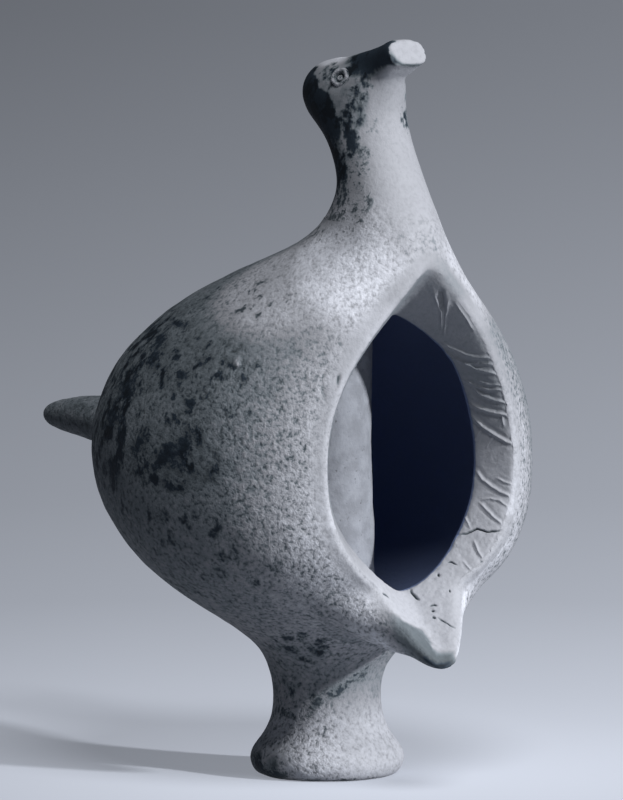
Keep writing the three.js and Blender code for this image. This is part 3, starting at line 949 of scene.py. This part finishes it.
def build_eye(node, side):
    """A ring pellet with a raised middle, pressed into its socket."""
    low, high = box_of(node)
    facing = unit_rows(np.array([EYE_FACING]) * (1, side, 1))[0]
    mesh = lathe(node + "_pellet", EYE_PROFILE, EYE_SIDES)
    points = read_points(mesh)
    across = unit_rows(np.cross([[0, 0, 1.0]], facing[None, :]))[0]
    upward = np.cross(facing, across)
    radius = np.hypot(points[:, 0], points[:, 1])
    dark = sum(np.exp(-(((radius - middle) / width) ** 2)) for middle, width in EYE_GROOVES)
    centre = (low + high) / 2 + facing * EYE_LIFT
    points = centre + points[:, :1] * across + points[:, 1:2] * upward + points[:, 2:] * facing
    write_points(mesh, points)
    push = uneven(points, EYE_LUMPS)
    write_points(mesh, points + read_normals(mesh) * push[:, None])
    for name, value in EYE_LOOKS:
        store(mesh, name, np.full(len(points), value))
    store(mesh, "dark", dark)
    return mesh_object(node + "_pellet", mesh)


# Materials


def empty_tree(owner):
    """The node tree of a new material or world, without nodes."""
    owner.use_nodes = True
    owner.node_tree.nodes.clear()
    return owner.node_tree


def add_node(tree, kind, inputs=None, **settings):
    """A node with its settings, and with its inputs linked or set."""
    made = tree.nodes.new(kind)
    for key, value in settings.items():
        setattr(made, key, value)
    for key, value in (inputs or {}).items():
        if isinstance(value, bpy.types.NodeSocket):
            tree.links.new(value, made.inputs[key])
        else:
            made.inputs[key].default_value = value
    return made


def math_of(tree, operation, first, second):
    """One step of arithmetic on two numbers."""
    return add_node(tree, "ShaderNodeMath", {0: first, 1: second}, operation=operation).outputs[0]


def vector_of(tree, operation, inputs, output=0):
    """One step of arithmetic on vectors."""
    return add_node(tree, "ShaderNodeVectorMath", inputs, operation=operation).outputs[output]


def mix_of(tree, share, first, second):
    """A mix of two colours."""
    return add_node(tree, "ShaderNodeMix", {0: share, 6: first, 7: second}, data_type="RGBA").outputs[2]


def step_of(tree, value, low, high, start=0.0, end=1.0):
    """A smooth rise from start to end as value goes from low to high."""
    inputs = {"Value": value, "From Min": low, "From Max": high, "To Min": start, "To Max": end}
    return add_node(tree, "ShaderNodeMapRange", inputs, interpolation_type="SMOOTHSTEP").outputs["Result"]


def noise_of(tree, place, width, detail, roughness):
    """Noise from 0 to 1 with lumps about width mm wide, with its detail and roughness."""
    inputs = {"Vector": place, "Scale": 1 / width, "Detail": detail, "Roughness": roughness}
    return add_node(tree, "ShaderNodeTexNoise", inputs).outputs["Fac"]


def place_of(tree):
    """The object's own coordinates in mm."""
    source = add_node(tree, "ShaderNodeTexCoord").outputs["Object"]
    return vector_of(tree, "MULTIPLY", {0: source, 1: (1 / MM,) * 3})


def attribute_of(tree, name):
    """A number that the mesh holds for each vertex."""
    return add_node(tree, "ShaderNodeAttribute", attribute_name=name).outputs["Fac"]


SHEEN = 0.25
CLAY_ROUGHNESS, COLUMN_ROUGHNESS = 0.72, 0.75


def finish_clay(tree, colour, roughness, bumps):
    """The clay shader with its bumps, each a height from 0 to 1 and a depth in mm."""
    normal = None
    for height, depth in bumps:
        inputs = {"Height": height, "Strength": 1.0, "Distance": depth * MM}
        if normal is not None:
            inputs["Normal"] = normal
        normal = add_node(tree, "ShaderNodeBump", inputs).outputs["Normal"]
    inputs = {"Base Color": colour, "Roughness": roughness, "Normal": normal, "Specular IOR Level": SHEEN}
    shader = add_node(tree, "ShaderNodeBsdfPrincipled", inputs)
    add_node(tree, "ShaderNodeOutputMaterial", {"Surface": shader.outputs[0]})


# Painted shade: the inside of the hollow is coloured near black, for the deep shade inside it
HOLLOW_COLOUR = (0.13, 0.17, 0.30, 1.0)
# How much less red and more blue than green a cool grey has
LESS_RED = 0.06
MORE_BLUE = 0.14


def grey(level):
    """A slightly cool grey of a linear level."""
    return (level * (1 - LESS_RED), level, level * (1 + MORE_BLUE), 1.0)


# Noises in the clay: the width of the lumps in mm, detail and roughness
BROAD, BLOTS, MOTTLE, SPECKLE = (26, 3, 0.55), (4.2, 5, 0.62), (2.6, 4, 0.6), (1.3, 3, 0.6)
BLOT_STRETCH = (1.0, 1.0, 0.75)
# Where each begins and is full, and then what it goes from and to
PITS = (0.5, 0.33, 0.06, -0.34)
SMOKED = (0.25, 0.8)
SPOTTED, IN_BLOTCHES = (0.50, 0.64), (0.02, 0.2)
RAGGED_STAINS_AND_SHADOWS, IN_STAINS_AND_SHADOWS = (0.25, 0.85), (0.03, 0.3, 0.0, 0.94)
DIM, BLACK = (0.3, 0.12), (0.09, 0.0)
# What smoke, spots and dark marks take from the tone, what a light mark adds, and the blackest left
BLACKENING = -0.9
MARK_LIGHTENING = -0.35
BLACKEST = 0.009
# Red and blue as shares of green, and what dim clay and black clay add to them
RED_SHARES = (0.965, -0.12, -0.27)
BLUE_SHARES = (1.11, 0.03, 0.45)
# The share of the bumps left on smooth clay
BUMP_LEFT = 0.25


def clay_material():
    """Fired clay whose tone, smoke, blotches, stains and painted shadows, grain and marks the mesh holds,
    with painted shade in the marks and the hollow.
    """
    made = bpy.data.materials.new("fired_clay")
    tree = empty_tree(made)
    place = place_of(tree)
    upright = vector_of(tree, "MULTIPLY", {0: place, 1: BLOT_STRETCH})
    broad = noise_of(tree, place, *BROAD)
    blots = noise_of(tree, upright, *BLOTS)
    mottle = noise_of(tree, place, *MOTTLE)
    speckle = noise_of(tree, place, *SPECKLE)
    tone, smoke, blotches, stains_and_shadows, grain, dark = (
        attribute_of(tree, name) for name in ("tone", "smoke", "blotches", "stains_and_shadows", "grain", "dark")
    )

    def times(first, second):
        return math_of(tree, "MULTIPLY", first, second)

    def plus(first, second):
        return math_of(tree, "ADD", first, second)

    def greater(first, second):
        return math_of(tree, "MAXIMUM", first, second)

    def centred(value, strength):
        return times(math_of(tree, "SUBTRACT", value, 0.5), strength)

    def darkened(level, share):
        return times(level, plus(1.0, times(share, BLACKENING)))

    # The clay's own tone, with its grain and its pits
    pits = step_of(tree, speckle, *PITS)
    grains = plus(plus(pits, centred(speckle, 1.0)), centred(mottle, 1.2))
    level = times(tone, plus(1.0, plus(times(grain, grains), centred(broad, 0.35))))

    # Clouds of smoke, then black spots, then ragged stains and painted shadows, then the marks
    cloud = plus(centred(mottle, 0.8), centred(blots, 0.8))
    level = darkened(level, step_of(tree, plus(smoke, cloud), *SMOKED))
    spots = plus(plus(blots, centred(speckle, 0.12)), centred(blotches, 0.34))
    spots = times(step_of(tree, spots, *SPOTTED), step_of(tree, blotches, *IN_BLOTCHES))
    # Stains and painted shadows, with ragged edges
    edge_raggedness = plus(plus(centred(mottle, 2.2), centred(speckle, 1.2)), centred(blots, 1.2))
    stained_and_shadowed = times(step_of(tree, plus(stains_and_shadows, edge_raggedness), *RAGGED_STAINS_AND_SHADOWS), step_of(tree, stains_and_shadows, *IN_STAINS_AND_SHADOWS))
    level = darkened(level, greater(spots, stained_and_shadowed))
    # Painted shade in cracks, grooves and the eyes' grooves, and under the bill and the lip's nub
    level = darkened(level, greater(dark, 0.0))
    level = plus(level, greater(times(dark, MARK_LIGHTENING), 0.0))
    level = greater(level, BLACKEST)

    dim = step_of(tree, level, *DIM)
    black = step_of(tree, level, *BLACK)
    red, blue = (
        times(level, plus(share, plus(times(dim, when_dim), times(black, when_black))))
        for share, when_dim, when_black in (RED_SHARES, BLUE_SHARES)
    )
    tint = add_node(tree, "ShaderNodeCombineColor", {"Red": red, "Green": level, "Blue": blue})
    # Inside the hollow the colour is the painted shade of the hollow
    colour = mix_of(tree, attribute_of(tree, "hollow"), tint.outputs[0], HOLLOW_COLOUR)
    bump_share = plus(BUMP_LEFT, times(grain, 1 - BUMP_LEFT))
    bumps = ((times(mottle, bump_share), 0.32), (times(speckle, bump_share), 0.26))
    finish_clay(tree, colour, CLAY_ROUGHNESS, bumps)
    return made


# The column's noises, its two greys, where its clouds and its pits begin and are full, and a pit's shade
COLUMN_MOTTLE, COLUMN_SPECKLE = (6, 4, 0.6), (1.2, 3, 0.6)
COLUMN_GREYS = (grey(0.25), grey(0.33))
COLUMN_CLOUDS, COLUMN_PITS = (0.35, 0.65), (0.28, 0.36)
PIT_SHADE = 0.5


def column_material():
    """Bare clay with faint clouds and small pits."""
    made = bpy.data.materials.new("column_clay")
    tree = empty_tree(made)
    place = place_of(tree)
    mottle = noise_of(tree, place, *COLUMN_MOTTLE)
    speckle = noise_of(tree, place, *COLUMN_SPECKLE)
    colour = mix_of(tree, step_of(tree, mottle, *COLUMN_CLOUDS), *COLUMN_GREYS)
    pitted = vector_of(tree, "SCALE", {0: colour, "Scale": PIT_SHADE})
    colour = mix_of(tree, step_of(tree, speckle, *COLUMN_PITS), pitted, colour)
    finish_clay(tree, colour, COLUMN_ROUGHNESS, ((mottle, 0.3), (speckle, 0.15)))
    return made


# The plain floor: its brightness by distance in metres, and across the picture, as painted light that dims
# away from the vessel and is lighter to the right
FLOOR_RADIUS = 12.0
FLOOR_SIDES = 96
FLOOR_ROUGHNESS = 0.6
FLOOR_SHADES = (
    (0.0, 0.63), (0.16, 0.49), (0.42, 0.385), (0.72, 0.35), (1.07, 0.35), (2.03, 0.335), (3.4, 0.31),
    (12.0, 0.3),
)
FLOOR_LIGHTER_TOWARDS = (0.5736, 0.8192, 0.0)
FLOOR_TILT_REACH = 1.2
FLOOR_TILT = 0.55
# The part of the floor's brightness that no lamp and no shadow changes
FLOOR_OWN_LIGHT = 0.43
# What the floor throws back on the vessel, behind it and in front of it, across this span in metres towards
# the key lamp, and how it fades with distance
KEY_SIDE = (0.906, 0.423, 0.0)
FLOOR_BOUNCE_REACH = (-0.08, 0.08)
FLOOR_BOUNCE = (0.25, 1.0)
FLOOR_BOUNCE_FADE = (0.25, 0.8, 1.0, 0.15)
BOUNCE_TINT = (0.96, 1.0, 1.08)


def floor_shade(tree, place):
    """The floor's colour as the camera sees it, with painted light that dims with distance and is lighter to
    the right.
    """
    length = vector_of(tree, "LENGTH", {0: place}, "Value")
    seen = add_node(tree, "ShaderNodeValToRGB", {"Fac": math_of(tree, "DIVIDE", length, FLOOR_RADIUS)})
    ramp = seen.color_ramp.elements
    for number, (distance, level) in enumerate(FLOOR_SHADES):
        mark = ramp[number] if number < 2 else ramp.new(distance / FLOOR_RADIUS)
        mark.position = distance / FLOOR_RADIUS
        mark.color = grey(level)
    sideways = vector_of(tree, "DOT_PRODUCT", {0: place, 1: FLOOR_LIGHTER_TOWARDS}, "Value")
    tilt = step_of(tree, sideways, -FLOOR_TILT_REACH, FLOOR_TILT_REACH, 1 - FLOOR_TILT, 1 + FLOOR_TILT)
    return vector_of(tree, "SCALE", {0: seen.outputs["Color"], "Scale": tilt})


def floor_bounce(tree, place):
    """The floor's colour as the vessel sees it."""
    length = vector_of(tree, "LENGTH", {0: place}, "Value")
    towards_key = vector_of(tree, "DOT_PRODUCT", {0: place, 1: KEY_SIDE}, "Value")
    by_side = step_of(tree, towards_key, *FLOOR_BOUNCE_REACH, *FLOOR_BOUNCE)
    bounce = math_of(tree, "MULTIPLY", by_side, step_of(tree, length, *FLOOR_BOUNCE_FADE))
    return vector_of(tree, "SCALE", {0: BOUNCE_TINT, "Scale": bounce})


def floor_material():
    """Plain paper, lit partly by the lamps and partly by its own painted glow."""
    made = bpy.data.materials.new("floor_paper")
    tree = empty_tree(made)
    place = add_node(tree, "ShaderNodeTexCoord").outputs["Object"]
    shade = floor_shade(tree, place)
    path = add_node(tree, "ShaderNodeLightPath").outputs
    colour = mix_of(tree, path["Is Diffuse Ray"], shade, floor_bounce(tree, place))
    lit = add_node(tree, "ShaderNodeBsdfDiffuse", {"Color": colour, "Roughness": FLOOR_ROUGHNESS})
    own = math_of(tree, "MAXIMUM", path["Is Camera Ray"], path["Is Glossy Ray"])
    glow = add_node(tree, "ShaderNodeEmission", {"Color": shade, "Strength": own})
    inputs = {0: FLOOR_OWN_LIGHT, 1: lit.outputs[0], 2: glow.outputs[0]}
    both = add_node(tree, "ShaderNodeMixShader", inputs)
    add_node(tree, "ShaderNodeOutputMaterial", {"Surface": both.outputs[0]})
    return made


def build_floor():
    """The floor, which is stage and no part of the vessel."""
    work = bmesh.new()
    bmesh.ops.create_circle(work, cap_ends=True, segments=FLOOR_SIDES, radius=FLOOR_RADIUS)
    mesh = bpy.data.meshes.new("floor")
    work.to_mesh(mesh)
    work.free()
    mesh.materials.append(floor_material())
    in_scene("floor", mesh)


# Light and camera

# Each lamp: degrees round from forward towards the bird's left, degrees above, distance and width in
# metres, and how bright a white surface that faces it is
LAMPS = {"key": (25.0, 18.0, 2.4, 0.12, 1.15), "top": (-15.0, 60.0, 2.0, 0.9, 0.7)}
FILL = (0.029, 0.035, 0.043, 1.0)
HORIZON = grey(0.15)
CAMERA_SIGHT = 100.0


def build_lamp(name, round_degrees, above_degrees, distance, width, level):
    """A round lamp that faces the vessel's middle."""
    lamp = bpy.data.lights.new(name, "AREA")
    lamp.shape = "DISK"
    lamp.size = width
    lamp.energy = level * math.pi * math.pi * distance**2
    placed = in_scene(name, lamp)
    away = direction(round_degrees, above_degrees)
    placed.location = np.array([0, 0, AIM_HEIGHT * MM]) + away * distance
    aim_object(placed, -away)


def build_world():
    """Faint light from all round, and the colour behind the floor's far edge."""
    world = bpy.data.worlds.new("studio")
    tree = empty_tree(world)
    seen = add_node(tree, "ShaderNodeLightPath").outputs["Is Camera Ray"]
    colour = mix_of(tree, seen, FILL, HORIZON)
    back = add_node(tree, "ShaderNodeBackground", {"Color": colour, "Strength": 1.0})
    add_node(tree, "ShaderNodeOutputWorld", {"Surface": back.outputs[0]})
    bpy.context.scene.world = world


def aim_object(placed, direction):
    """Turns a camera or lamp to look along a direction."""
    placed.rotation_mode = "QUATERNION"
    placed.rotation_quaternion = Vector(direction).to_track_quat("-Z", "Y")


def build_camera():
    """The photograph's camera."""
    lens = bpy.data.cameras.new("camera")
    lens.sensor_width = SENSOR_WIDTH
    lens.lens = FOCAL_PIXELS * SENSOR_WIDTH / IMAGE_HEIGHT_PIXELS
    lens.clip_end = CAMERA_SIGHT
    camera = in_scene("camera", lens)
    back, right, up = view_axes()
    aim = np.array([0, 0, AIM_HEIGHT]) - right * AIM_LEFT_OF_OBJECT + up * AIM_ABOVE_OBJECT
    camera.location = (aim + back * VIEW_DISTANCE) * MM
    aim_object(camera, -back)
    bpy.context.scene.camera = camera


build_camera()
for lamp_name, lamp_values in LAMPS.items():
    build_lamp(lamp_name, *lamp_values)
build_world()
build_floor()

skin = build_skin()
skin.data.materials.append(clay_material())
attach(skin, "root")
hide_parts(*SKIN_NODES)

column = build_column()
column.data.materials.append(column_material())
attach(column, "root")
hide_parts("inner_column")

for eye_node, eye_side in (("eye_right", -1), ("eye_left", 1)):
    eye = build_eye(eye_node, eye_side)
    eye.data.materials.append(skin.data.materials[0])
    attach(eye, "root")
    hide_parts(eye_node)

bpy.context.scene.view_settings.view_transform = "Standard"
